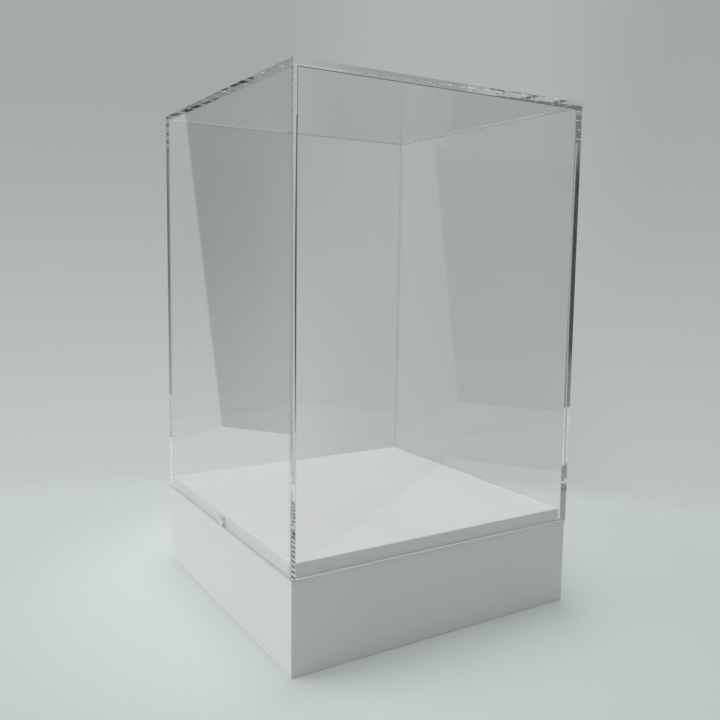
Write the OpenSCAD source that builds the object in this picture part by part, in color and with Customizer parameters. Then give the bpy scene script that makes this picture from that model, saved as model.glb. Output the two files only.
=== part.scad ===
// A display case for a table top: a mitred plinth, a thin raised deck on it, and a clear cover of
// five cemented sheets that drops over the deck and stands on the ledge round it.
// Millimetres. The origin is at the middle of the footprint, on the table. +Z is up, -Y is the
// front, +X is to the right.

/* [Plinth] */
// Width of the plinth, left to right
plinth_w = 220; // [140:5:320]
// Depth of the plinth, front to back
plinth_d = 220; // [140:5:320]
// Height of the ledge that the cover stands on, above the table
ledge_h = 60; // [48:1:120]
// Thickness of the plinth's boards
board_t = 15; // [12:0.5:18]
// Flat taken off the outer edges of the plinth and the deck
arris = 0.3; // [0.1:0.1:1]

/* [Raised deck] */
// Thickness of the raised deck
deck_t = 9; // [6:0.5:15]
// Gap between the deck and each sheet round it
deck_gap = 0.5; // [0.3:0.1:1.5]

/* [Cover] */
// Height of the cover, from the ledge to its top
cover_h = 295; // [120:5:400]
// Thickness of the clear sheets
sheet_t = 4; // [3:0.5:6]
// How far the cover stands out past the plinth on each side
cover_proud = 0.5; // [0:0.1:1]
// Flat polished on the outer edges of the cover
polished_arris = 0.2; // [0.1:0.1:0.5]

/* [Security screw holes] */
// Diameter of the hole through a side sheet
hole_d = 4.5; // [3.5:0.1:5.5]
// Diameter of its countersink at the outer face
countersink_d = 8.4; // [7:0.1:10]
// Diameter of the pilot hole in the deck's edge
pilot_d = 3; // [2:0.1:3.4]
// Depth of the pilot hole
pilot_depth = 20; // [8:1:25]

/* [Mitre tongues] */
// Thickness of the loose tongues
tongue_t = 4; // [3:0.5:5]
// Width of the tongues, across the mitre
tongue_w = 12; // [8:0.5:12]
// Clearance on each broad face of a tongue in its groove
tongue_fit = 0.05; // [0.05:0.05:0.2]
// Room for glue past each long edge of a tongue, and past its ends
glue_room = 0.5; // [0.3:0.1:1]
// Solid board left between the end of a groove and what is next to it
groove_stop = 4; // [3:0.5:8]

/* [Corner blocks] */
// Length of a block's two glued sides
block_leg = 20; // [12:1:30]
// Flat on the block's square corner, which clears the glue squeezed from the mitre
block_nose = 2; // [1:0.5:4]
// Height of a block's foot above the boards' lower edges
block_lift = 5; // [2:1:10]

/* [Deck screws] */
// Diameter of the screws that hold the deck
screw_d = 3.5; // [3:0.5:4]
// Length of the screws over the head
screw_l = 20; // [18:1:22]
// Diameter of the screw head
screw_head_d = 7; // [5.5:0.1:8]
// Distance of each screw from the plinth's outer faces
screw_inset = 40; // [30:1:60]
// Clearance round the screw in the top board
screw_slack = 0.35; // [0.2:0.05:0.5]
// Clearance round the screw in the deck, where its thread bites
thread_fit = 0.05; // [0.05:0.05:0.1]

/* [Felt pads] */
// Thickness of the felt pads
pad_t = 1; // [1:0.5:3]
// How far the pads stand out of their recesses, below the boards
pad_proud = 0.3; // [0.2:0.1:0.8]
// Diameter of the felt pads
pad_d = 12; // [8:1:14]
// Gap round a pad in its recess
pad_slack = 0.2; // [0.1:0.1:0.4]
// Distance of each pad's middle from the plinth's outer faces
pad_inset = 8.5; // [7:0.5:10]

/* [Hidden] */
$fn = 48;
bite = 1;                                   // how far a cut runs past the face it opens

// Heights
soffit_z = ledge_h - board_t;               // underside of the top board
deck_top_z = ledge_h + deck_t;
hole_z = ledge_h + deck_t / 2;              // the security screws meet the middle of the deck's edge
cover_top_z = ledge_h + cover_h;

// The cover's outer faces, and the deck that fits inside it
cover_w = plinth_w + 2 * cover_proud;
cover_d = plinth_d + 2 * cover_proud;
deck_w = cover_w - 2 * (sheet_t + deck_gap);
deck_d = cover_d - 2 * (sheet_t + deck_gap);

// A tongue lies square to its mitre, with as much board outside it as inside it. Distances across
// the board are measured from its outer face.
root2 = sqrt(2);
groove_reach = tongue_w / 2 + glue_room;    // from the mitre to the floor of the groove
groove_half = tongue_t / 2 + tongue_fit;    // from the groove's middle plane to its wall
tongue_along = (board_t * root2 + groove_reach) / 2;    // its place along the mitre's face
tongue_in = tongue_along / root2;           // the same, straight in from the outer face
groove_in = (tongue_along + groove_reach + groove_half) / root2;    // deepest point of a groove
post_tongue_z0 = pad_t + groove_stop + glue_room;
post_tongue_z1 = ledge_h - groove_in - groove_stop - glue_room;
function rim_tongue_run(side) = side_run(side) - 2 * (groove_in + groove_stop + glue_room);

// A deck screw's head and point
screw_rim = 0.3;                            // height of the rim below the head's cone
screw_slope = (screw_head_d - screw_d) / 2; // height of the cone
screw_point = 3;                            // length of the point
recess_w = 0.9;                             // width of an arm of the cross recess
recess_l = 4;                               // length of the cross recess over both arms
recess_depth = 1.4;

// The four corners and the four sides: a name, then which way from the middle
CORNERS = [["front_left", -1, -1], ["front_right", 1, -1], ["back_left", -1, 1], ["back_right", 1, 1]];
SIDES = [["front", 0], ["right", 90], ["back", 180], ["left", 270]];

// ---- Shapes that several pieces share ----

// A rectangle about the origin in X, from y0 to y1, with its four corners cut at 45 degrees
module eased_outline(w, y0, y1, cut) {
    x = w / 2;
    polygon([
        [-x + cut, y0], [x - cut, y0], [x, y0 + cut], [x, y1 - cut],
        [x - cut, y1], [-x + cut, y1], [-x, y1 - cut], [-x, y0 + cut]
    ]);
}

// A block about the Z axis with a small flat along every outer edge
module eased_block(w, d, z0, z1, cut) {
    intersection() {
        translate([0, 0, z0]) linear_extrude(z1 - z0) eased_outline(w, -d / 2, d / 2, cut);
        translate([0, d / 2, 0]) rotate([90, 0, 0]) linear_extrude(d) eased_outline(w, z0, z1, cut);
        translate([-w / 2, 0, 0]) rotate([90, 0, 90]) linear_extrude(w) eased_outline(d, z0, z1, cut);
    }
}

// The whole plinth as if cut from one block, which every board is a part of
module plinth_envelope() {
    eased_block(plinth_w, plinth_d, pad_proud, ledge_h, arris);
}

// The whole cover as if cut from one block
module cover_envelope() {
    eased_block(cover_w, cover_d, ledge_h, cover_top_z, polished_arris);
}

// Turns what is drawn for the front side to another side
module on_side(side) {
    rotate([0, 0, side[1]]) children();
}

// Length of a side along its outer face, and the distance across the plinth from it
function side_run(side) = side[1] % 180 == 0 ? plinth_w : plinth_d;
function side_across(side) = side[1] % 180 == 0 ? plinth_d : plinth_w;

// Places what is drawn at a corner, that far in from both outer faces, with its own +X and +Y
// turned towards the middle of the plinth
module at_corner(corner, inset) {
    translate([corner[1] * (plinth_w / 2 - inset), corner[2] * (plinth_d / 2 - inset), 0])
        mirror([corner[1] > 0 ? 1 : 0, 0, 0])
            mirror([0, corner[2] > 0 ? 1 : 0, 0])
                children();
}

// A strip that stands in the mitre of a corner, its broad faces square to the mitre
module post_strip(corner, w, t, z0, z1) {
    at_corner(corner, tongue_in)
        rotate([0, 0, 45])
            translate([-t / 2, -w / 2, z0]) cube([t, w, z1 - z0]);
}

// A strip that lies in the mitre along a side's top edge, its broad faces square to the mitre
module rim_strip(side, w, t, run) {
    on_side(side)
        translate([0, -side_across(side) / 2 + tongue_in, ledge_h - tongue_in])
            rotate([45, 0, 0])
                translate([-run / 2, -w / 2, -t / 2]) cube([run, w, t]);
}

// The stopped grooves, each cut at once in both boards of its mitre
module post_groove(corner) {
    post_strip(corner, 2 * groove_reach, 2 * groove_half,
        post_tongue_z0 - glue_room, post_tongue_z1 + glue_room);
}

module rim_groove(side) {
    rim_strip(side, 2 * groove_reach, 2 * groove_half, rim_tongue_run(side) + 2 * glue_room);
}

// The four places where a screw holds the deck
module at_screws() {
    for (corner = CORNERS) at_corner(corner, screw_inset) children();
}

// A hole square to a side sheet, from an outer face at face_x inwards, on the side sx
module hole_from_side(sx, face_x, depth, d) {
    translate([sx * (face_x - depth), 0, hole_z])
        rotate([0, 90 * sx, 0]) cylinder(d = d, h = depth + bite);
}

// ---- Plinth ----

// A board with a mitre at each end and one along its top
module side_board(side) {
    run = side_run(side);
    out = -side_across(side) / 2;
    color("whitesmoke") difference() {
        intersection() {
            plinth_envelope();
            on_side(side) linear_extrude(ledge_h) polygon([
                [-run / 2, out], [run / 2, out],
                [run / 2 - board_t, out + board_t], [-run / 2 + board_t, out + board_t]
            ]);
            on_side(side) translate([-run / 2, 0, 0]) rotate([90, 0, 90]) linear_extrude(run) polygon([
                [out, pad_proud], [out + board_t, pad_proud], [out + board_t, soffit_z], [out, ledge_h]
            ]);
        }
        for (corner = CORNERS) post_groove(corner);
        for (corner = CORNERS) pad_recess(corner);
        rim_groove(side);
    }
}

// The top board's section: full width on top, and narrower by a board at each side below
module top_section(span) {
    polygon([
        [-span / 2, ledge_h], [-span / 2 + board_t, soffit_z],
        [span / 2 - board_t, soffit_z], [span / 2, ledge_h]
    ]);
}

// The top board is mitred all round, so that no board's edge shows on the ledge
module plinth_top_board() {
    color("white") difference() {
        intersection() {
            plinth_envelope();
            translate([0, plinth_d / 2, 0]) rotate([90, 0, 0]) linear_extrude(plinth_d) top_section(plinth_w);
            translate([-plinth_w / 2, 0, 0]) rotate([90, 0, 90]) linear_extrude(plinth_w) top_section(plinth_d);
        }
        for (side = SIDES) rim_groove(side);
        at_screws() translate([0, 0, soffit_z]) screw_clearance();
    }
}

// What the drill and the countersink take out of the top board for one screw
module screw_clearance() {
    translate([0, 0, -bite]) cylinder(d = screw_d + 2 * screw_slack, h = board_t + 2 * bite);
    translate([0, 0, -bite]) cylinder(d = screw_head_d + 2 * screw_slack, h = bite + screw_rim);
    translate([0, 0, screw_rim])
        cylinder(d1 = screw_head_d + 2 * screw_slack, d2 = screw_d + 2 * screw_slack, h = screw_slope);
}

module raised_deck() {
    screw_depth = soffit_z + screw_l - ledge_h + glue_room;
    color("white") difference() {
        eased_block(deck_w, deck_d, ledge_h, deck_top_z, arris);
        at_screws() translate([0, 0, ledge_h - bite])
            cylinder(d = screw_d + 2 * thread_fit, h = screw_depth + bite);
        for (sx = [-1, 1]) hole_from_side(sx, deck_w / 2, pilot_depth, pilot_d);
    }
}

// Four countersunk wood screws, driven up through the top board into the deck
module deck_screws() {
    color("silver") at_screws() translate([0, 0, soffit_z]) deck_screw();
}

// One screw, head down at the origin, with a cross recess in its head
module deck_screw() {
    difference() {
        union() {
            cylinder(d = screw_head_d, h = screw_rim);
            translate([0, 0, screw_rim]) cylinder(d1 = screw_head_d, d2 = screw_d, h = screw_slope);
            translate([0, 0, screw_rim + screw_slope])
                cylinder(d = screw_d, h = screw_l - screw_rim - screw_slope - screw_point);
            translate([0, 0, screw_l - screw_point])
                cylinder(d1 = screw_d, d2 = screw_d / 5, h = screw_point);
        }
        for (turn = [0, 90]) rotate([0, 0, turn])
            translate([-recess_l / 2, -recess_w / 2, -bite]) cube([recess_l, recess_w, recess_depth + bite]);
    }
}

// ---- Inside and under the plinth ----

// A three-sided block glued to both boards of a corner and to the top board
module corner_block(corner) {
    color("burlywood") at_corner(corner, board_t)
        translate([0, 0, pad_proud + block_lift])
            linear_extrude(soffit_z - pad_proud - block_lift)
                polygon([[block_nose, 0], [block_leg, 0], [0, block_leg], [0, block_nose]]);
}

// A loose tongue that stands in a corner's mitre
module mitre_tongue(corner) {
    color("tan") post_strip(corner, tongue_w, tongue_t, post_tongue_z0, post_tongue_z1);
}

// A loose tongue that lies in the mitre between a side board and the top board
module rim_tongue(side) {
    color("tan") rim_strip(side, tongue_w, tongue_t, rim_tongue_run(side));
}

// The shallow recess for a pad, drilled across the foot of a corner's mitre
module pad_recess(corner) {
    at_corner(corner, pad_inset) cylinder(d = pad_d + 2 * pad_slack, h = pad_t);
}

// A felt pad stuck in its recess, so that the plinth stands just clear of the table
module felt_pad(corner) {
    color("dimgray") at_corner(corner, pad_inset) cylinder(d = pad_d, h = pad_t);
}

// ---- Cover ----

// The top sheet lies over all four walls, so its edge shows as a band round the top
module cover_top_sheet() {
    color("azure", 0.4) intersection() {
        cover_envelope();
        translate([-cover_w / 2, -cover_d / 2, cover_top_z - sheet_t]) cube([cover_w, cover_d, sheet_t]);
    }
}

// The front and back sheets run the full width. sy is -1 for the front and 1 for the back
module wide_sheet(sy) {
    color("azure", 0.4) intersection() {
        cover_envelope();
        translate([-cover_w / 2, sy * (cover_d - sheet_t) / 2 - sheet_t / 2, ledge_h])
            cube([cover_w, sheet_t, cover_h - sheet_t]);
    }
}

// The left and right sheets fit between them. sx is -1 for the left and 1 for the right
module side_sheet(sx) {
    color("azure", 0.4) difference() {
        intersection() {
            cover_envelope();
            translate([sx * (cover_w - sheet_t) / 2 - sheet_t / 2, -cover_d / 2 + sheet_t, ledge_h])
                cube([sheet_t, cover_d - 2 * sheet_t, cover_h - sheet_t]);
        }
        hole_from_side(sx, cover_w / 2, sheet_t + bite, hole_d);
        translate([sx * cover_w / 2, 0, hole_z]) rotate([0, -90 * sx, 0])
            cylinder(d1 = countersink_d, d2 = hole_d, h = (countersink_d - hole_d) / 2);
    }
}

// ---- What is drawn ----

for (side = SIDES) side_board(side);
plinth_top_board();
raised_deck();
deck_screws();
for (corner = CORNERS) corner_block(corner);
for (corner = CORNERS) mitre_tongue(corner);
for (side = SIDES) rim_tongue(side);
for (corner = CORNERS) felt_pad(corner);
cover_top_sheet();
wide_sheet(-1);  // cover_front_sheet
wide_sheet(1);  // cover_back_sheet
side_sheet(-1);  // cover_left_sheet
side_sheet(1);  // cover_right_sheet
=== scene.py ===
# %% [markdown]
# # A clear-covered display case on a white plinth
#
# The case has two halves. A low white plinth stands on four felt pads, and a clear acrylic
# cover of five cemented sheets drops over a thin raised deck and stands on the ledge round it.
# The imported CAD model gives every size, so this lesson adds only what a camera sees: paint,
# polished plastic, light and a floor. Everything is in metres, in the CAD model's own frame.

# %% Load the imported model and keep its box
import math

import bmesh
import bpy
from mathutils import Matrix, Vector


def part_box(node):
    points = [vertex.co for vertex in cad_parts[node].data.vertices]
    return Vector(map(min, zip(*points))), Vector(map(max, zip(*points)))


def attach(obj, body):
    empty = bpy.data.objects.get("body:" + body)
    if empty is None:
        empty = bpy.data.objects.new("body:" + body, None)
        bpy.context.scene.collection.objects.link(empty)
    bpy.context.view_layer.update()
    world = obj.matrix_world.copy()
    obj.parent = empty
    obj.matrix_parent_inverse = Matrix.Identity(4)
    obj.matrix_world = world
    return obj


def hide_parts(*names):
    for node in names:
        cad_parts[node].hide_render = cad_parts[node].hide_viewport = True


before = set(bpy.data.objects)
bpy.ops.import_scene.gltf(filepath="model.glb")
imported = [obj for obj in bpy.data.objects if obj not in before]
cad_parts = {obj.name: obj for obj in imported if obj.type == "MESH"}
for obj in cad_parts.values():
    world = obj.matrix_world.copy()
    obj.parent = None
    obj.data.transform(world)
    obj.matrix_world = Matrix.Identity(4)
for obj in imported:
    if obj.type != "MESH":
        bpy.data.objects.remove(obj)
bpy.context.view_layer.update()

print("CAD nodes:", len(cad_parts))

# %% [markdown]
# ## The camera
#
# The photograph was taken with the near corner of the plinth towards the camera, from a little
# below the top of the cover. The camera is placed first, because every later choice is judged
# through it. Its place and three angles were solved from the corners of the case, and they are
# written as an aim, a sideways axis and an upward axis, which is what a camera's matrix holds.

# %% Place the camera
IMAGE = 720  # pixels on each side of the photograph
FOCAL = 786.93  # focal length, in those pixels
SENSOR = 36.0  # mm
STAND = (-0.30696, -0.50439, 0.24659)  # where the camera stands, m
YAW, PITCH, ROLL = 31.467, -6.081, 0.767  # degrees
SHIFT = -0.0241  # how far the frame is moved down from the lens's middle, in frame widths
NEAREST = 0.01  # where the camera's view begins, m

def camera_matrix(place, yaw, pitch, roll):
    """Where the camera stands and looks. Yaw turns from +Y towards +X, in degrees."""
    yaw, pitch, roll = (math.radians(angle) for angle in (yaw, pitch, roll))
    aim = Vector((
        math.sin(yaw) * math.cos(pitch), math.cos(yaw) * math.cos(pitch), math.sin(pitch),
    ))
    level = Vector((math.cos(yaw), -math.sin(yaw), 0))
    upright = level.cross(aim)
    side = math.cos(roll) * level + math.sin(roll) * upright
    up = math.cos(roll) * upright - math.sin(roll) * level
    return Matrix.Translation(place) @ Matrix((side, up, -aim)).transposed().to_4x4()

camera = bpy.data.objects.new("camera", bpy.data.cameras.new("camera"))
bpy.context.collection.objects.link(camera)
camera.matrix_world = camera_matrix(STAND, YAW, PITCH, ROLL)
camera.data.sensor_width = SENSOR
camera.data.lens = FOCAL / IMAGE * SENSOR
camera.data.shift_y = SHIFT
camera.data.clip_start = NEAREST
bpy.context.scene.camera = camera
print("lens: %.1f mm" % camera.data.lens)

# %% [markdown]
# ## Nodes as Python
#
# A finish is a tree of nodes. Built by hand it takes a line for each node and each link, and the
# sums in it are hard to read. Two small classes make it short. `Nodes` adds any node in one
# call, and `Socket` lets Python's own signs stand for Math nodes, so `1 - mask` adds a node.

# %% Wrap sockets and trees
class Socket:
    """An output of a node. Signs between sockets and numbers add Math nodes."""

    def __init__(self, nodes, output):
        self.nodes, self.output = nodes, output

    def maths(self, operation, first, second=0.0):
        return self.nodes.add(
            "ShaderNodeMath", {"operation": operation}, {0: first, 1: second}
        )[0]

    def __add__(self, other):
        return self.maths("ADD", self, other)

    def __sub__(self, other):
        return self.maths("SUBTRACT", self, other)

    def __rsub__(self, other):
        return self.maths("SUBTRACT", other, self)

    def __mul__(self, other):
        return self.maths("MULTIPLY", self, other)

    def __truediv__(self, other):
        return self.maths("DIVIDE", self, other)

    def __rtruediv__(self, other):
        return self.maths("DIVIDE", other, self)

    def __gt__(self, other):
        return self.maths("GREATER_THAN", self, other)

    def __lt__(self, other):
        return self.maths("LESS_THAN", self, other)

    def __abs__(self):
        return self.maths("ABSOLUTE", self)

    __radd__, __rmul__ = __add__, __mul__


class Nodes:
    """A node tree, filled by one method."""

    def __init__(self, tree):
        self.tree = tree
        tree.nodes.clear()

    def add(self, kind, settings=None, values=None):
        """A new node: its settings first, and then a number or a socket for each input.

        A list of sockets goes into an input that takes many links. The last link into such an
        input lies first in the mesh that comes out.
        """
        node = self.tree.nodes.new(kind)
        for name, setting in (settings or {}).items():
            setattr(node, name, setting)
        for key, value in (values or {}).items():
            sources = value if isinstance(value, list) else [value]
            if isinstance(sources[0], Socket):
                for source in sources:
                    self.tree.links.new(source.output, node.inputs[key])
            else:
                node.inputs[key].default_value = value
        return [Socket(self, output) for output in node.outputs]


print("sockets and trees wrapped")

# %% [markdown]
# Five short helpers say what a tree does most: a soft step between two values, a colour between
# two colours, a shader between two shaders, the place of a point, and a noise. The soft step is
# a Map Range node.

# %% Name the common steps
def rise(nodes, value, low, high, start=0.0, end=1.0):
    """A soft step: start below low, end above high."""
    return nodes.add("ShaderNodeMapRange", {"interpolation_type": "SMOOTHSTEP"}, {
        "Value": value, "From Min": low, "From Max": high, "To Min": start, "To Max": end,
    })[0]


def blended(nodes, first, second, share):
    """A colour between two colours."""
    return nodes.add("ShaderNodeMix", {"data_type": "RGBA"}, {
        0: share, 6: (*first, 1) if isinstance(first, tuple) else first,
        7: (*second, 1) if isinstance(second, tuple) else second,
    })[2]


def mixed(nodes, first, second, share):
    """A shader between two shaders."""
    return nodes.add("ShaderNodeMixShader", None, {0: share, 1: first, 2: second})[0]


def place_of(nodes, kind="Object"):
    """A point on the piece, or a direction in the world, whole and as its x, y and z."""
    sockets = nodes.add("ShaderNodeTexCoord")
    at = sockets[{"Generated": 0, "Object": 3}[kind]]
    return at, nodes.add("ShaderNodeSeparateXYZ", None, {0: at})


def noise(nodes, at, scale, detail=2.0):
    """Smooth noise about 0.5. Scale counts its waves in a metre."""
    return nodes.add("ShaderNodeTexNoise", None, {
        "Vector": at, "Scale": scale, "Detail": detail,
    })[0]


print("helpers ready")

# %% [markdown]
# ## What the room does
#
# Clear plastic has almost no look of its own: what shows is what it mirrors. So the stage is
# made twice over. Straight through the sheets, the camera sees a plain pale floor that fades
# into a plain pale backdrop. In a mirrored ray it meets what a real studio holds: a lit floor
# that ends not far off, a white board that stands behind the case, and a darker room beyond
# them. A ray's Glossy Depth, the number of times it has been mirrored, tells the two apart.

# %% Measure the room and tell rays apart
ALONG = Vector((0.825, -0.565, 0))  # the lit floor's long side, away from the window
AWAY = Vector((0.565, 0.825, 0))  # across the lit floor, away from the camera
LIT_LOW, LIT_HIGH = (-0.593, -0.227), (0.509, 0.277)  # its corners, along those two

def part_of(direction, axis):
    """How much of a direction lies along a level axis, as a sum of sockets."""
    return axis.x * direction[0] + axis.y * direction[1]


def rays_of(nodes):
    """What a Light Path node says of a ray, by name."""
    return {socket.output.name: socket for socket in nodes.add("ShaderNodeLightPath")}


def ray_kinds(nodes):
    """(how far a ray is a straight look, how far it is a mirrored look)."""
    ray = rays_of(nodes)
    look = ray["Is Camera Ray"] + ray["Is Glossy Ray"] + ray["Is Transmission Ray"] > 0.5
    mirrored = (ray["Glossy Depth"] > 0.5) * look
    return look * (1 - mirrored), mirrored


print("lit floor: %.2f by %.2f m" % tuple(h - l for l, h in zip(LIT_LOW, LIT_HIGH)))

# %% [markdown]
# ## The world
#
# One Background node serves three kinds of ray. Rays that light the case meet a soft fill,
# stronger towards the window and overhead. Straight looks meet the backdrop, which is brighter
# low down than high up, as a pale wall is above a lit floor. Mirrored looks meet the room: dark
# level with the case on the window's side, brighter above and below that, and grey behind the
# camera, where it gets darker with height.

# %% Light the world
LEFT_WALL, MIDDLE_WALL, RIGHT_WALL = (0.612, 0.390), (0.482, 0.442), (0.554, 0.387)  # low, high
DARK_ROOM, GREY_ROOM, BEHIND_CAMERA = 0.04, 0.27, (0.33, 0.03)  # the last low down, high up
FILL, FROM_WINDOW, FROM_OVERHEAD = 0.11, 0.40, 1.28
PALE_LIGHT, PALE_WALL = (0.97, 1.0, 0.98), (0.94, 1.02, 0.985)

world = bpy.data.worlds.new("studio")
world.use_nodes = True
bpy.context.scene.world = world
sky = Nodes(world.node_tree)
_, direction = place_of(sky, "Generated")
height = direction[2]
across, away = part_of(direction, ALONG), part_of(direction, AWAY)
straight, mirrored = ray_kinds(sky)

left_wall = rise(sky, height, -0.46, 0.27, *LEFT_WALL)
middle_wall = rise(sky, height, -0.42, 0.38, *MIDDLE_WALL)
right_wall = rise(sky, height, -0.46, 0.27, *RIGHT_WALL)
wall = left_wall + (middle_wall - left_wall) * rise(sky, across, -0.17, -0.02)
wall = wall + (right_wall - wall) * rise(sky, across, 0.14, 0.30)

beside = rise(sky, away, 0.38, 0.30)
level_off = 0.15 * rise(sky, abs(height), 0.10, 0.14) + 0.30 * rise(sky, height, 0.16, 0.19)
window_room = DARK_ROOM + 0.15 * rise(sky, height, -0.23, -0.30) + level_off * beside
window_room = window_room + 0.05 * rise(sky, height, -0.02, 0.14) * (1 - beside)
behind_room = rise(sky, height, -0.22, 0.02, *BEHIND_CAMERA)
room = GREY_ROOM + (behind_room - GREY_ROOM) * rise(sky, away, -0.50, -0.53)
room = room - 0.19 * rise(sky, away, -0.36, -0.28)
room = room + (window_room - room) * rise(sky, across, 0.3, -0.3)

soft = FILL + FROM_WINDOW * rise(sky, across, 0.6, -0.9)
soft = soft + FROM_OVERHEAD * rise(sky, height, 0.65, 1.0)

strength = soft * (1 - straight) * (1 - mirrored) + room * mirrored + wall * straight
tone = blended(sky, PALE_LIGHT, PALE_WALL, straight)
background = sky.add("ShaderNodeBackground", None, {"Color": tone, "Strength": strength})[0]
sky.add("ShaderNodeOutputWorld", None, {"Surface": background})
print("world: soft fill, backdrop and room")

# %% [markdown]
# ## The lamps
#
# The left side of the plinth is clearly brighter than its front, so one light is stronger than
# the fill. It is wide and about two and a half metres off, as a window is, which keeps shadows
# soft. A weaker one hangs near, above and behind the case: the deck is palest at its back. No
# mirrored or bent ray meets the lamps themselves: the real ones are too far round to show.

# %% Hang two lamps
LAMP_COLOUR = (0.98, 1.0, 0.99)

def soft_lamp(name, place, aim, size, watts):
    """A square area lamp that only lights: no camera, mirrored or bent ray meets it."""
    lamp = bpy.data.lights.new(name, "AREA")
    lamp.size, lamp.energy, lamp.color = size, watts, LAMP_COLOUR
    hung = bpy.data.objects.new(name, lamp)
    bpy.context.collection.objects.link(hung)
    turn = (Vector(aim) - Vector(place)).to_track_quat("-Z", "Y").to_matrix().to_4x4()
    hung.matrix_world = Matrix.Translation(place) @ turn
    hung.visible_camera = hung.visible_glossy = hung.visible_transmission = False
    return hung

high_place = AWAY * 0.42 + Vector((0, 0, 0.8))
window = soft_lamp("window_lamp", (-2.0, 1.37, 1.15), (0, 0, 0.1), size=1.9, watts=18.2)
high = soft_lamp("high_lamp", high_place, (0.05, 0.07, 0.07), size=0.6, watts=0.93)
print("window lamp: %.1f W, high lamp: %.2f W" % (window.data.energy, high.data.energy))

# %% [markdown]
# ## The floor
#
# The floor is one wide disc. For a straight look it fades into the backdrop as it gets farther
# off, over an oval that follows the camera's low view, so no horizon shows. For a mirrored look
# it ends at the lit floor's sides instead. It lies a hair above the lowest point of the felt
# pads, which the case's weight presses together.
#
# Three helpers come first: a material with an empty tree, the end of a tree, and a flat piece
# of the stage.

# %% Wrap materials and flat stage pieces
def new_material(name):
    """A material and its empty tree."""
    material = bpy.data.materials.new(name)
    material.use_nodes = True
    return material, Nodes(material.node_tree)


def output(nodes, shader):
    """The end of a material's tree."""
    nodes.add("ShaderNodeOutputMaterial", None, {"Surface": shader})


def stage_mesh(name, corners, material):
    """A flat piece of the stage."""
    mesh = bpy.data.meshes.new(name)
    mesh.from_pydata([Vector(corner) for corner in corners], [], [tuple(range(len(corners)))])
    mesh.materials.append(material)
    card = bpy.data.objects.new(name, mesh)
    bpy.context.collection.objects.link(card)
    return card


print("stage helpers ready")

# %% Lay the floor
FLOOR_RADIUS, FLOOR_SIDES = 1.5, 64
OVAL = (0.75, 1.35, 1)  # how fast the floor fades along each side, against a circle's 1
FADE_FROM, FADE_TO = 0.31, 0.43  # m from the middle
# the floor's colour is paler near the case and darker farther out: a painted pool of light
FLOOR_NEAR, FLOOR_FAR = (0.727, 0.772, 0.747), (0.67, 0.71, 0.69)
NEAR_TO, FAR_FROM = 0.18, 0.30  # where those two colours end and begin, m from the middle
FELT_SINKS = 0.00028  # how far the case's weight presses its pads together, m

floor_material, floor_nodes = new_material("floor_pale")
at, (x, y, _) = place_of(floor_nodes)
straight, mirrored = ray_kinds(floor_nodes)
radius = floor_nodes.add("ShaderNodeVectorMath", {"operation": "LENGTH"}, {0: at})[1]
oval = floor_nodes.add("ShaderNodeVectorMath", {"operation": "MULTIPLY"}, {0: at, 1: OVAL})[0]
reach = floor_nodes.add("ShaderNodeVectorMath", {"operation": "LENGTH"}, {0: oval})[1]
faded = rise(floor_nodes, reach, FADE_FROM, FADE_TO) * straight
lit = (x > LIT_LOW[0]) * (x < LIT_HIGH[0]) * (y > LIT_LOW[1]) * (y < LIT_HIGH[1])
cut_off = (1 - lit) * mirrored
outward = rise(floor_nodes, radius, NEAR_TO, FAR_FROM)
pale = floor_nodes.add("ShaderNodeBsdfDiffuse", None, {
    "Color": blended(floor_nodes, FLOOR_NEAR, FLOOR_FAR, outward),
})[0]
clear = floor_nodes.add("ShaderNodeBsdfTransparent")[0]
output(floor_nodes, mixed(floor_nodes, pale, clear, faded + cut_off))

turns = [math.tau * side / FLOOR_SIDES for side in range(FLOOR_SIDES)]
rim = [(FLOOR_RADIUS * math.cos(turn), FLOOR_RADIUS * math.sin(turn), 0) for turn in turns]
floor = stage_mesh("floor", rim, floor_material)
floor.rotation_euler.z = math.atan2(ALONG.y, ALONG.x)
floor.location.z = FELT_SINKS
print("floor: %.1f m across" % (2 * FLOOR_RADIUS))

# %% [markdown]
# ## The board behind
#
# A white board leans away behind the case, and its left edge gives the two slanting boundaries in
# the clear sheets: pale where a sheet mirrors the board, darker where it mirrors the room past it.
# Its glow is painted light, a little brighter at its foot, over the lit floor, and high up, and it
# is darker right behind the case, a painted shadow of the case. Only mirrored rays meet it, and it
# gives the case no light.

# %% Stand the board
BOARD_HEIGHT = 1.3  # m, up its own slope
BOARD_END = 1.4  # m, how far it reaches along the lit floor
BOARD_LEAN = math.radians(6.8)
LEFT_EDGE = Vector((0.0822, 0.0884, 0.9927))  # the way its left edge runs up
GLOW, FOOT_GLOW, TOP_GLOW, SHADED = 0.45, 0.05, 0.04, 0.8
BOARD_COLOUR = (0.955, 1.01, 0.98)

board_material, board_nodes = new_material("board_glow")
board_material.cycles.emission_sampling = "NONE"
_, place = place_of(board_nodes)
foot = rise(board_nodes, place[2], 0.22, 0.0, 0.0, FOOT_GLOW)
top = rise(board_nodes, place[2], 0.25, 0.45, 0.0, TOP_GLOW)
# a painted shadow of the case on the board, right behind it
shade = rise(board_nodes, part_of(place, ALONG), -0.12, -0.04, 1.0, SHADED)
glow = board_nodes.add("ShaderNodeEmission", None, {
    "Color": (*BOARD_COLOUR, 1), "Strength": (GLOW + foot + top) * shade,
})[0]
clear = board_nodes.add("ShaderNodeBsdfTransparent")[0]
_, mirrored = ray_kinds(board_nodes)
output(board_nodes, mixed(board_nodes, clear, glow, mirrored))

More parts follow.
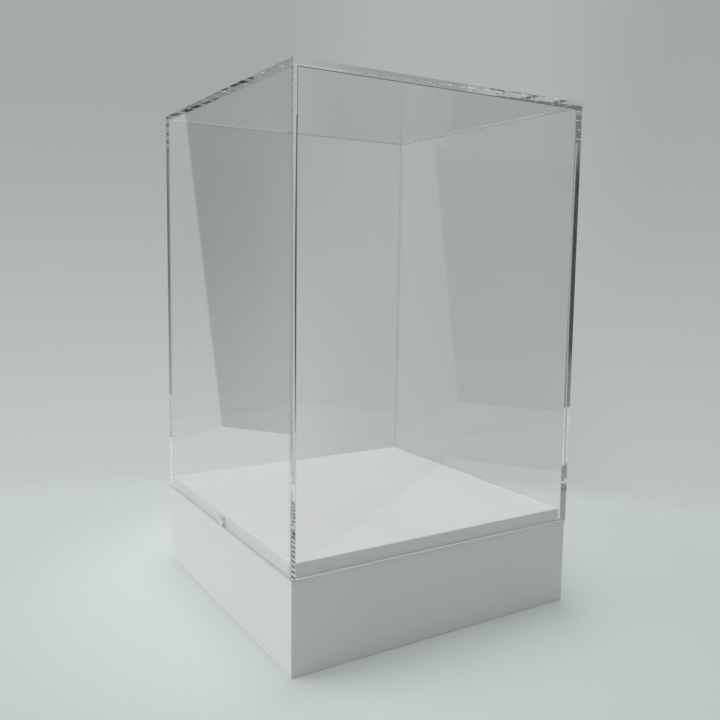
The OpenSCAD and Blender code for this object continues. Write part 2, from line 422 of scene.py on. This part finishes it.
left_foot = ALONG * LIT_LOW[0] + AWAY * LIT_HIGH[1]
right_foot = ALONG * BOARD_END + AWAY * LIT_HIGH[1]
right_edge = AWAY * math.sin(BOARD_LEAN) + Vector((0, 0, math.cos(BOARD_LEAN)))
right_top, left_top = right_foot + right_edge * BOARD_HEIGHT, left_foot + LEFT_EDGE * BOARD_HEIGHT
board = stage_mesh("board", [left_foot, right_foot, right_top, left_top], board_material)
board.visible_diffuse = board.visible_shadow = False
print("board: leans %.1f degrees" % math.degrees(BOARD_LEAN))

# %% [markdown]
# ## White paint
#
# The plinth is board with a sprayed satin white finish. Real paint is never one flat colour: it
# has a fine orange-peel skin, a slow drift of tone, and a little more gloss where hands rub it.
# Inside, where nobody sprays, the bare board shows.

# %% Mix the paint
HOLLOW = 0.095  # from the middle to the boards' inner faces, m
SOFFIT = 0.045  # underside of the top board, m
SKIN = 0.00005  # how far past a face the bare board's colour reaches, m
PALEST, DULLEST = 1.01, 0.988  # how far the paint's tone drifts
BARE_DARK, BARE_LIGHT = (0.33, 0.235, 0.15), (0.46, 0.35, 0.24)

def satin_paint(name, colour, peel, rough):
    """Sprayed paint over board, with bare board inside the hollow of the plinth."""
    material, nodes = new_material(name)
    at, (x, y, z) = place_of(nodes)
    drift = rise(nodes, noise(nodes, at, 14.0, 3.0), 0.3, 0.7)
    coat = blended(
        nodes, tuple(c * DULLEST for c in colour), tuple(c * PALEST for c in colour), drift,
    )
    shine = (rough - 0.05) + 0.1 * drift
    fibres = noise(nodes, at, 700.0, 4.0)
    bare = blended(nodes, BARE_DARK, BARE_LIGHT, rise(nodes, fibres, 0.35, 0.65))
    inside = (abs(x) < HOLLOW + SKIN) * (abs(y) < HOLLOW + SKIN) * (z < SOFFIT + SKIN)
    bump = nodes.add("ShaderNodeBump", None, {
        "Strength": 0.35, "Distance": 0.00004, "Height": noise(nodes, at, peel),
    })[0]
    output(nodes, nodes.add("ShaderNodeBsdfPrincipled", None, {
        "Base Color": blended(nodes, coat, bare, inside),
        "Roughness": shine + 0.35 * inside,
        "Normal": bump,
    })[0])
    return material


plinth_paint = satin_paint("plinth_white", (0.842, 0.844, 0.836), peel=1500.0, rough=0.48)
deck_paint = satin_paint("deck_white", (0.893, 0.883, 0.889), peel=2200.0, rough=0.42)
print("paints mixed")

# %% [markdown]
# ## What the paint hides
#
# Under the top board there are softwood blocks, birch tongues, zinc-plated screws and felt. They
# show only when the case is turned over or taken apart, but each still has its own grain, a noise
# between two colours at its own scale. One recipe does all four, and in softwood the noise is
# squeezed, so its grain runs long and straight.

# %% Finish the hidden parts
def plain_finish(name, low, high, scale, rough, metal=0.0, squeeze=(1, 1, 1)):
    """A finish between two colours, by a grain whose scale counts its waves in a metre."""
    material, nodes = new_material(name)
    at, _ = place_of(nodes)
    grain_at = nodes.add("ShaderNodeMapping", None, {"Vector": at, "Scale": squeeze})[0]
    grain = noise(nodes, grain_at, scale, 5.0)
    bump = nodes.add("ShaderNodeBump", None, {
        "Strength": 0.4, "Distance": 0.0001, "Height": grain,
    })[0]
    output(nodes, nodes.add("ShaderNodeBsdfPrincipled", None, {
        "Base Color": blended(nodes, low, high, rise(nodes, grain, 0.3, 0.7)),
        "Roughness": rise(nodes, grain, 0.3, 0.7, rough + 0.08, rough - 0.08),
        "Metallic": metal, "Normal": bump,
    })[0])
    return material


finishes = {"plinth_white": plinth_paint, "deck_white": deck_paint}
for name, low, high, scale, rough, more in (
    ("glue_block", (0.50, 0.33, 0.17), (0.66, 0.47, 0.27), 300, 0.6, {"squeeze": (1, 1, 0.08)}),
    ("tongue_ply", (0.50, 0.36, 0.21), (0.68, 0.52, 0.34), 400, 0.65, {}),
    ("zinc_screw", (0.60, 0.60, 0.58), (0.72, 0.72, 0.70), 900, 0.28, {"metal": 1.0}),
    ("grey_felt", (0.10, 0.10, 0.10), (0.24, 0.24, 0.235), 2500, 0.92, {}),
):
    finishes[name] = plain_finish(name, low, high, scale, rough, **more)
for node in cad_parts.values():
    for slot in node.material_slots:
        kind = slot.material.name.split(".")[0]
        if kind in finishes:
            slot.material = finishes[kind]
print("finishes:", sorted(finishes))

# %% [markdown]
# ## The clear plastic
#
# Cast acrylic is glass to a renderer: it bends and mirrors light, with an index of 1.49. Two
# things differ over a sheet. The faces are clear, while a polished edge shows green, because
# light reaches it through the whole length of the sheet. Lamps shine through the sheets in the
# plain way of a Transparent shader, so the deck and the floor are lit with no speckle.

# %% Mix the clear plastic
BENDS = 1.49  # how strongly acrylic bends light
FACE_TINT, EDGE_TINT, LAMP_TINT = (0.998, 1.0, 0.999), (0.87, 0.925, 0.87), (0.955, 0.962, 0.958)

def clear_body(nodes, tint):
    """Polished acrylic that lets lamps and soft light straight through."""
    ray = rays_of(nodes)
    lighting = nodes.add("ShaderNodeMath", {"operation": "MAXIMUM"}, {
        0: ray["Is Shadow Ray"], 1: ray["Is Diffuse Ray"],
    })[0]
    body = nodes.add("ShaderNodeBsdfPrincipled", None, {
        "Base Color": (*tint, 1), "Roughness": 0.0, "IOR": BENDS, "Transmission Weight": 1.0,
    })[0]
    thin = nodes.add("ShaderNodeBsdfTransparent", None, {"Color": (*LAMP_TINT, 1)})[0]
    return mixed(nodes, body, thin, lighting)


def clear_plastic(name, tint):
    """A material of nothing but polished acrylic."""
    material, nodes = new_material(name)
    output(nodes, clear_body(nodes, tint))
    return material


clear_face = clear_plastic("clear_acrylic", FACE_TINT)
clear_edge = clear_plastic("clear_acrylic_edge", EDGE_TINT)
print("clear plastic mixed")

# %% [markdown]
# ## Cut plastic and cement
#
# Four more finishes belong to the cover. The lower edges along its left and right are left as the
# saw made them, finely scored and frosted, and both narrow corners of such an edge are painted
# dark, as painted shade. Light that is turned to and fro between the faces of a sheet makes a row
# of dark ticks of them, up the near edge of the cover. The lower edges along its front and back,
# and the screw holes, get the same frost painted paler, as painted light, which shows as a light
# line under the front sheet.
#
# The upright ends of the front and back sheets are trimmed flush with their neighbours and
# buffed by hand, so they are part clear and part cloudy. Where sheets are joined, solvent cement
# has melted them into one, so a joint neither bends nor mirrors light and its finish is plainly
# transparent.

# %% Mix the cut finishes and the cement
NOMINAL = 0.004  # thickness the sheets are sold by, m
SHEET = 0.0037  # thickness the walls measure: cast sheet runs a little under its nominal size
PROUD = 0.1105  # the cover's outer faces, from its middle
INNER = PROUD - SHEET  # the walls' inner faces, from the middle
SHADE_WIDTH = 0.0006  # width of the painted shade at each corner of a sawn edge, m
# the colour of the painted shade at the corners of a sawn edge
SHADE_COLOUR = (0.02, 0.03, 0.025)
CLOUDY = 0.12  # how much of a trimmed end is frosted

def frosted(nodes, scores, low, high, dark=0.0):
    """A frosted surface, scored along its edge by a saw or round its bore by a drill."""
    at, _ = place_of(nodes)
    scored_at = nodes.add("ShaderNodeMapping", None, {"Vector": at, "Scale": scores})[0]
    scoring = noise(nodes, scored_at, 900.0, 3.0)
    bump = nodes.add("ShaderNodeBump", None, {
        "Strength": 0.5, "Distance": 0.00005, "Height": scoring,
    })[0]
    frost = blended(nodes, low, high, rise(nodes, scoring, 0.3, 0.7))
    return nodes.add("ShaderNodeBsdfPrincipled", None, {
        "Base Color": blended(nodes, frost, SHADE_COLOUR, dark),
        "Roughness": rise(nodes, scoring, 0.3, 0.7, 0.65, 0.5), "IOR": BENDS, "Normal": bump,
    })[0]


def shaded_corners(nodes):
    """Where a lower edge lies close to either face of its sheet, painted dark as shade."""
    _, (x, y, _) = place_of(nodes)
    outward = nodes.add("ShaderNodeMath", {"operation": "MAXIMUM"}, {0: abs(x), 1: abs(y)})[0]
    return abs(outward - (PROUD + INNER) / 2) > SHEET / 2 - SHADE_WIDTH


sawn, nodes = new_material("sawn_acrylic")
output(nodes, frosted(
    nodes, (1.0, 1.0, 0.1), (0.58, 0.62, 0.59), (0.72, 0.76, 0.73), shaded_corners(nodes),
))

# The same frost painted paler, as painted light: the screw holes lie in shade, and the line under
# the front sheet shows light.
pale_cut, nodes = new_material("pale_cut_acrylic")
output(nodes, frosted(nodes, (1.0, 0.2, 0.2), (0.80, 0.84, 0.81), (0.90, 0.94, 0.91)))

trimmed, nodes = new_material("trimmed_acrylic")
cloud = frosted(nodes, (1.0, 1.0, 0.1), (0.42, 0.47, 0.43), (0.48, 0.53, 0.49))
output(nodes, mixed(nodes, clear_body(nodes, EDGE_TINT), cloud, CLOUDY))

cement, nodes = new_material("cemented_joint")
output(nodes, nodes.add("ShaderNodeBsdfTransparent")[0])
print("sawn edges, pale cuts, trimmed ends and cemented joints mixed")

# %% [markdown]
# ## The five sheets
#
# Each sheet starts as a joined copy of its CAD mesh. It is cut along its neighbours' inner
# faces, so that every face is either wholly a joint or wholly free, and each face then gets one
# of six finishes. The lower edges are lifted by a film of air, so that the plastic and the
# paint it stands on never share a plane.

# %% Sort the faces of a sheet
LEDGE = 0.060  # what the cover stands on, m above the table top
CEILING = 0.351  # underside of the top sheet
AIR = 0.00003  # film of air under the lower edges
HOLE_Z, HOLE_REACH = 0.0645, 0.0045  # middle of the screw holes, and just past their countersinks
FACING = 0.99  # a normal's part along an axis, above which a face looks along that axis
SHEET_FINISHES = (clear_face, clear_edge, trimmed, sawn, pale_cut, cement)
FACE, EDGE, TRIMMED, SAWN, PALE_CUT, JOINT = range(len(SHEET_FINISHES))

def close_to(value, target):
    """True within two hundredths of a millimetre."""
    return abs(value - target) < 0.00002


def is_joint(name, normal, middle):
    """True for a face that is cemented to its neighbour."""
    x, y = abs(middle.x), abs(middle.y)
    if abs(normal.z) > FACING and close_to(middle.z, CEILING):
        return name != "cover_top_sheet" or max(x, y) > INNER
    if name == "cover_top_sheet" or abs(normal.y) < FACING:
        return False
    return close_to(y, INNER) and (x > INNER or name in ("cover_left_sheet", "cover_right_sheet"))


def is_lower_edge(normal, middle):
    """True for a face that stands on the ledge."""
    return normal.z < -0.5 and middle.z < LEDGE + 0.0005


def is_drilled(normal, middle):
    """True for the wall of a screw hole."""
    in_hole = math.hypot(middle.y, middle.z - HOLE_Z) < HOLE_REACH
    return in_hole and abs(normal.x) < FACING and abs(middle.x) > INNER


def is_broad(name, normal):
    """True for a sheet's broad faces. The others are its edges."""
    across = {
        "cover_top_sheet": normal.z, "cover_front_sheet": normal.y, "cover_back_sheet": normal.y,
    }
    return abs(across.get(name, normal.x)) >= FACING


def finish_of(name, face):
    """The number of the finish that a face of a sheet gets."""
    middle = face.calc_center_median()
    if is_joint(name, face.normal, middle):
        return JOINT
    if is_lower_edge(face.normal, middle):
        return SAWN if abs(middle.x) > INNER else PALE_CUT
    if is_drilled(face.normal, middle):
        return PALE_CUT
    if is_broad(name, face.normal):
        return FACE
    return TRIMMED if abs(face.normal.x) > FACING and name != "cover_top_sheet" else EDGE


print("cover: %.0f mm square, walls %.1f mm thick" % (2000 * PROUD, 1000 * SHEET))

# %% Cut the five sheets
SMOOTH = math.radians(25)  # edges that bend less than this are shaded smooth

def thin_walls(work):
    """Moves the walls' inner faces out, from the nominal thickness to the measured one."""
    for vert in work.verts:
        for axis in (0, 1):
            if close_to(abs(vert.co[axis]), PROUD - NOMINAL):
                vert.co[axis] = math.copysign(INNER, vert.co[axis])


def cut_at_neighbours(work):
    """Cuts every face along the planes of the four walls' inner faces."""
    for axis in (0, 1):
        for side in (-INNER, INNER):
            middle, normal = Vector((0, 0, 0)), Vector((0, 0, 0))
            middle[axis], normal[axis] = side, 1
            everything = work.verts[:] + work.edges[:] + work.faces[:]
            bmesh.ops.bisect_plane(
                work, geom=everything, dist=1e-7, plane_co=middle, plane_no=normal
            )


def clear_sheet(name):
    """A joined copy of a CAD sheet, cut at its neighbours, with a finish for each face."""
    work = bmesh.new()
    work.from_mesh(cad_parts[name].data)
    bmesh.ops.remove_doubles(work, verts=work.verts, dist=1e-6)
    thin_walls(work)
    cut_at_neighbours(work)
    for face in work.faces:
        face.material_index = finish_of(name, face)
        face.smooth = True
    for vert in work.verts:
        if close_to(vert.co.z, LEDGE):
            vert.co.z += AIR
    for edge in work.edges:
        edge.smooth = edge.is_manifold and edge.calc_face_angle() < SMOOTH
    mesh = bpy.data.meshes.new(name.replace("cover_", "clear_"))
    work.to_mesh(mesh)
    work.free()
    for material in SHEET_FINISHES:
        mesh.materials.append(material)
    sheet = bpy.data.objects.new(mesh.name, mesh)
    bpy.context.collection.objects.link(sheet)
    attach(sheet, "cover")
    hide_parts(name)
    return sheet


for name in sorted(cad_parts):
    if name.startswith("cover_"):
        sheet = clear_sheet(name)
        numbers = [polygon.material_index for polygon in sheet.data.polygons]
        counts = [numbers.count(number) for number in range(len(SHEET_FINISHES))]
        print(sheet.name, "faces, edges, trimmed, sawn, pale cut, joints:", counts)

# %% [markdown]
# ## Geometry Nodes as Python
#
# What repeats or follows a path is grown by Geometry Nodes. Each tree is built in the script,
# with a named input for each size. A modifier takes its inputs by the sockets' identifiers, and
# they are set before anything is evaluated. The tree makes its instances real and sets their
# material, and the result is kept as a plain mesh, with its faces turned outwards.

# %% Wrap geometry trees
def geometry_tree(name, inputs):
    """An empty geometry tree, and what its named inputs give."""
    tree = bpy.data.node_groups.new(name, "GeometryNodeTree")
    tree.interface.new_socket("Geometry", in_out="INPUT", socket_type="NodeSocketGeometry")
    for title, kind in inputs.items():
        tree.interface.new_socket(title, in_out="INPUT", socket_type=kind)
    tree.interface.new_socket("Geometry", in_out="OUTPUT", socket_type="NodeSocketGeometry")
    nodes = Nodes(tree)
    given = {socket.output.name: socket for socket in nodes.add("NodeGroupInput")}
    return nodes, given


def end_tree(nodes, geometry, material):
    """Realize what was instanced, give it its finish, and hand it out."""
    real = nodes.add("GeometryNodeRealizeInstances", None, {0: geometry})[0]
    done = nodes.add("GeometryNodeSetMaterial", None, {"Geometry": real, "Material": material})[0]
    nodes.add("NodeGroupOutput", None, {0: done})


def grown(name, nodes, values):
    """The plain mesh that a tree makes, as an object at the origin."""
    seed = bpy.data.objects.new(name + "_seed", bpy.data.meshes.new(name + "_seed"))
    bpy.context.collection.objects.link(seed)
    modifier = seed.modifiers.new("grow", "NODES")
    modifier.node_group = nodes.tree
    for item in nodes.tree.interface.items_tree:
        if item.in_out == "INPUT" and item.name in values:
            modifier[item.identifier] = values[item.name]
    shaped = seed.evaluated_get(bpy.context.evaluated_depsgraph_get())
    mesh = bpy.data.meshes.new_from_object(shaped)
    mesh.name = name
    bpy.data.objects.remove(seed)
    work = bmesh.new()
    work.from_mesh(mesh)
    bmesh.ops.recalc_face_normals(work, faces=work.faces)
    open_edges = sum(not edge.is_manifold for edge in work.edges)
    work.to_mesh(mesh)
    work.free()
    print(name, "edges that aren't closed:", open_edges)
    piece = bpy.data.objects.new(name, mesh)
    bpy.context.collection.objects.link(piece)
    return piece


print("geometry trees wrapped")

# %% [markdown]
# ## Cement beads
#
# When solvent cement runs into a joint, a hair-thin bead of it stays along the inner corner. It
# shows as a fine darker line round the top, and a fainter one down each corner, where the cement
# drains away. It is thickest along the front and in the top of the near corner, where the two
# darkest lines are. The beads follow the edges of a box, so Geometry Nodes sweep them: a box is
# made, its four lower edges are left out, and a small ring runs along the rest.

# %% Write the bead tree
RING_SIDES = 10

beads, given = geometry_tree("cement_beads", {
    "Width": "NodeSocketFloat", "Height": "NodeSocketFloat", "Middle": "NodeSocketFloat",
    "Bead": "NodeSocketFloat", "Material": "NodeSocketMaterial",
})
size = beads.add("ShaderNodeCombineXYZ", None, {
    0: given["Width"], 1: given["Width"], 2: given["Height"],
})[0]
box = beads.add("GeometryNodeMeshCube", None, {"Size": size})[0]
middle = beads.add("ShaderNodeSeparateXYZ", None, {0: beads.add("GeometryNodeInputPosition")[0]})
not_lower = middle[2] > given["Height"] * -0.25
lines = beads.add("GeometryNodeMeshToCurve", None, {"Mesh": box, "Selection": not_lower})[0]
ring = beads.add("GeometryNodeCurvePrimitiveCircle", None, {
    "Resolution": RING_SIDES, "Radius": given["Bead"],
})[0]
tubes = beads.add("GeometryNodeCurveToMesh", None, {
    "Curve": lines, "Profile Curve": ring, "Fill Caps": True,
})[0]
lifted = beads.add("ShaderNodeCombineXYZ", None, {2: given["Middle"]})[0]
placed = beads.add("GeometryNodeTransform", None, {"Geometry": tubes, "Translation": lifted})[0]
end_tree(beads, placed, given["Material"])
print("bead tree:", len(beads.tree.nodes), "nodes")

# %% Run the beads
BEAD = 0.00022  # radius, m
BEAD_COLOUR = (0.16, 0.20, 0.18)
FAINT, FINE = 0.09, 0.21  # how much of a bead shows down a corner, and round the top
THICK = 0.6  # how much more of it shows where it is thickest
NEAR_EDGE = 0.002  # a bead that lies this near to an inner corner runs along it, m
FINE_FROM, FINE_TO = 0.015, 0.005  # how far under the top sheet faint turns to fine, m
THICK_FROM, THICK_TO = 0.042, 0.028  # how far under it the near corner's bead thickens, m

bead_material, nodes = new_material("cement_bead")
_, (x, y, z) = place_of(nodes)
front_run = (y < NEAR_EDGE - INNER) * (z > CEILING - NEAR_EDGE)
near_corner = (x < 0) * (y < 0) * rise(nodes, z, CEILING - THICK_FROM, CEILING - THICK_TO)
thick = front_run + near_corner * (1 - front_run) * (z < CEILING - NEAR_EDGE / 2)
output(nodes, nodes.add("ShaderNodeBsdfPrincipled", None, {
    "Base Color": (*BEAD_COLOUR, 1), "Roughness": 0.25, "IOR": BENDS,
    "Alpha": rise(nodes, z, CEILING - FINE_FROM, CEILING - FINE_TO, FAINT, FINE) + thick * THICK,
})[0])
bead_piece = grown("cement_beads", beads, {
    "Width": 2 * (INNER - BEAD - AIR), "Height": CEILING - LEDGE - BEAD - AIR,
    "Middle": (CEILING + LEDGE - BEAD - AIR) / 2, "Bead": BEAD, "Material": bead_material,
})
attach(bead_piece, "cover")
print("beads:", len(bead_piece.data.polygons), "faces")

# %% [markdown]
# ## Four of a kind
#
# The plinth has four felt pads and four deck screws, each set at the corners of a square. The
# pattern is the same for both, so it is one step of nodes: a grid of two by two points holds a
# copy at each, turned by a random angle, as a hand would leave it, from a fixed seed.

# %% Set four copies at the corners of a square
FOUR_INPUTS = {
    "Apart": "NodeSocketFloat", "Foot": "NodeSocketFloat", "Seed": "NodeSocketInt",
    "Material": "NodeSocketMaterial",
}

def at_four_corners(nodes, given, shape):
    """A copy of the shape at each corner of a square, turned at random about its own axis."""
    corners = nodes.add("GeometryNodeMeshGrid", None, {
        "Size X": given["Apart"], "Size Y": given["Apart"], "Vertices X": 2, "Vertices Y": 2,
    })[0]
    turn = nodes.add("FunctionNodeRandomValue", {"data_type": "FLOAT"}, {
        2: 0.0, 3: math.tau, "Seed": given["Seed"],
    })[1]
    turned = nodes.add("ShaderNodeCombineXYZ", None, {2: turn})[0]
    copies = nodes.add("GeometryNodeInstanceOnPoints", None, {
        "Points": corners, "Instance": shape, "Rotation": turned,
    })[0]
    lifted = nodes.add("ShaderNodeCombineXYZ", None, {2: given["Foot"]})[0]
    return nodes.add("GeometryNodeTransform", None, {"Geometry": copies, "Translation": lifted})[0]


print("pattern of four ready")

# %% [markdown]
# ## Felt pads
#
# Each pad is punched from pressed wool felt a millimetre thick. The punch rounds its rim, and
# the fibres leave its faces uneven. A short cylinder with many rings is drawn in towards its rim
# and then pressed in by noise, so the pad never grows past the space that the CAD model keeps.

# %% Write the pad tree
PAD_SIDES, PAD_LAYERS, PAD_RINGS = 72, 6, 12

pads, given = geometry_tree("felt_pads", {
    "Radius": "NodeSocketFloat", "Thickness": "NodeSocketFloat", "Rounding": "NodeSocketFloat",
    "Unevenness": "NodeSocketFloat", **FOUR_INPUTS,
})
disc = pads.add("GeometryNodeMeshCylinder", None, {
    "Vertices": PAD_SIDES, "Side Segments": PAD_LAYERS, "Fill Segments": PAD_RINGS,
    "Radius": given["Radius"], "Depth": given["Thickness"],
})[0]
place = pads.add("GeometryNodeInputPosition")[0]
_, _, up = pads.add("ShaderNodeSeparateXYZ", None, {0: place})
edge = abs(up) / given["Thickness"] * 2
edge = edge * edge
shrink = 1 - edge * edge * (given["Rounding"] / given["Radius"])
scale = pads.add("ShaderNodeCombineXYZ", None, {0: shrink, 1: shrink, 2: 1.0})[0]
drawn_in = pads.add("ShaderNodeVectorMath", {"operation": "MULTIPLY"}, {0: place, 1: scale})[0]
tangle = noise(pads, place, 1400.0, 3.0) * given["Unevenness"]
outward = pads.add("GeometryNodeInputNormal")[0]
pressed = pads.add("ShaderNodeVectorMath", {"operation": "SCALE"}, {
    0: outward, "Scale": tangle * -1,
})[0]
pad = pads.add("GeometryNodeSetPosition", None, {
    "Geometry": disc, "Position": drawn_in, "Offset": pressed,
})[0]
end_tree(pads, at_four_corners(pads, given, pad), given["Material"])
print("pad tree:", len(pads.tree.nodes), "nodes")

# %% Press the pads
pad_names = sorted(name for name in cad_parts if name.startswith("felt_pad_"))
low, high = (Vector(corner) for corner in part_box(pad_names[0]))
pad_piece = grown("felt_pads", pads, {
    "Radius": (high.x - low.x) / 2, "Thickness": high.z - low.z, "Rounding": 0.0003,
    "Unevenness": 0.00012, "Apart": abs(low.x + high.x), "Foot": (low.z + high.z) / 2,
    "Seed": 3, "Material": finishes["grey_felt"],
})
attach(pad_piece, "plinth")
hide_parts(*pad_names)
print("pads:", len(pad_piece.data.polygons), "faces")

# %% [markdown]
# ## Deck screws
#
# The screws are ordinary countersunk wood screws: a head with a cross recess, a plain shank and
# a thread with a point. Cones make the body, two crossed blades cut the recess out of the head,
# and the thread is a spiral swept with a three-sided ring, half sunk into the core.

# %% Shape one screw
SCREW_SIDES = 32
RECESS_WIDTH, RECESS_BLADE, RECESS_DEPTH = 0.0042, 0.0009, 0.0016  # of the cross, m

def moved(nodes, shape, height=0.0, turn=0.0):
    """The shape, turned about the Z axis and lifted."""
    lifted = nodes.add("ShaderNodeCombineXYZ", None, {2: height})[0]
    return nodes.add("GeometryNodeTransform", None, {
        "Geometry": shape, "Translation": lifted, "Rotation": (0, 0, turn),
    })[0]


def turned(nodes, start, depth, below, above):
    """A closed cone or cylinder, from a height, with a radius at its foot and one at its top."""
    cone = nodes.add("GeometryNodeMeshCone", None, {
        "Vertices": SCREW_SIDES, "Radius Bottom": below, "Radius Top": above, "Depth": depth,
    })[0]
    return moved(nodes, cone, start)


def recessed(nodes, head):
    """The head, with a cross cut into its flat side."""
    blade = nodes.add("GeometryNodeMeshCube", None, {
        "Size": (RECESS_WIDTH, RECESS_BLADE, 2 * RECESS_DEPTH),
    })[0]
    for turn in (0, math.pi / 2):
        head = nodes.add("GeometryNodeMeshBoolean", {"operation": "DIFFERENCE"}, {
            "Mesh 1": head, "Mesh 2": moved(nodes, blade, turn=turn),
        })[0]
    return head


print("screw parts ready")

# %% Write the screw tree
THREAD_STEPS, THREAD_SIDES = 24, 3  # of the spiral in each turn, and of the ring swept along it
TIP = 0.1  # the point's end, as a part of the core's radius

screws, given = geometry_tree("deck_screws", {
    "Head": "NodeSocketFloat", "Shank": "NodeSocketFloat", "Core": "NodeSocketFloat",
    "Length": "NodeSocketFloat", "Cone": "NodeSocketFloat", "Plain": "NodeSocketFloat",
    "Point": "NodeSocketFloat", "Turns": "NodeSocketFloat", **FOUR_INPUTS,
})
head, shank, core, cone_top = given["Head"], given["Shank"], given["Core"], given["Cone"]
plain_top = cone_top + given["Plain"]
point_foot = given["Length"] - given["Point"]
spiral = screws.add("GeometryNodeCurveSpiral", None, {
    "Resolution": THREAD_STEPS, "Rotations": given["Turns"], "Start Radius": core,
    "End Radius": core, "Height": point_foot - plain_top,
})[0]
ridge = screws.add("GeometryNodeCurvePrimitiveCircle", None, {
    "Resolution": THREAD_SIDES, "Radius": shank - core,
})[0]
thread = screws.add("GeometryNodeCurveToMesh", None, {
    "Curve": spiral, "Profile Curve": ridge, "Fill Caps": True,
})[0]
screw = screws.add("GeometryNodeJoinGeometry", None, {0: [
    recessed(screws, turned(screws, 0.0, cone_top, head, shank)),
    turned(screws, cone_top, given["Plain"], shank, shank),
    turned(screws, plain_top, point_foot - plain_top, core, core),
    turned(screws, point_foot, given["Point"], core, core * TIP),
    moved(screws, thread, plain_top),
]})[0]
end_tree(screws, at_four_corners(screws, given, screw), given["Material"])
print("screw tree:", len(screws.tree.nodes), "nodes")

# %% Turn the screws
HEAD_RADIUS, SHANK_RADIUS, CORE_RADIUS = 0.0035, 0.0017, 0.00125  # m

low, high = (Vector(corner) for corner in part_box("deck_screws"))
screw_piece = grown("wood_screws", screws, {
    "Head": HEAD_RADIUS, "Shank": SHANK_RADIUS, "Core": CORE_RADIUS, "Length": high.z - low.z,
    "Cone": 0.002, "Plain": 0.005, "Point": 0.003, "Turns": 7.0,
    "Apart": high.x - low.x - 2 * HEAD_RADIUS, "Foot": low.z,
    "Seed": 8, "Material": finishes["zinc_screw"],
})
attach(screw_piece, "plinth")
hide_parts("deck_screws")
print("screws:", len(screw_piece.data.polygons), "faces")

# %% [markdown]
# ## Render settings that the picture needs
#
# A ray that enters a polished edge is turned back many times between the two faces of a sheet
# before it leaves. With few bounces allowed it would end inside, black. The Standard view
# transform shows each colour about as it is written.

# %% Set bounces and view
BOUNCES, CLEAR_BOUNCES = 128, 32

scene = bpy.context.scene
scene.view_settings.view_transform = "Standard"
scene.cycles.max_bounces = BOUNCES
scene.cycles.transmission_bounces = BOUNCES
scene.cycles.glossy_bounces = BOUNCES
scene.cycles.transparent_max_bounces = CLEAR_BOUNCES
print("bounces:", scene.cycles.max_bounces)
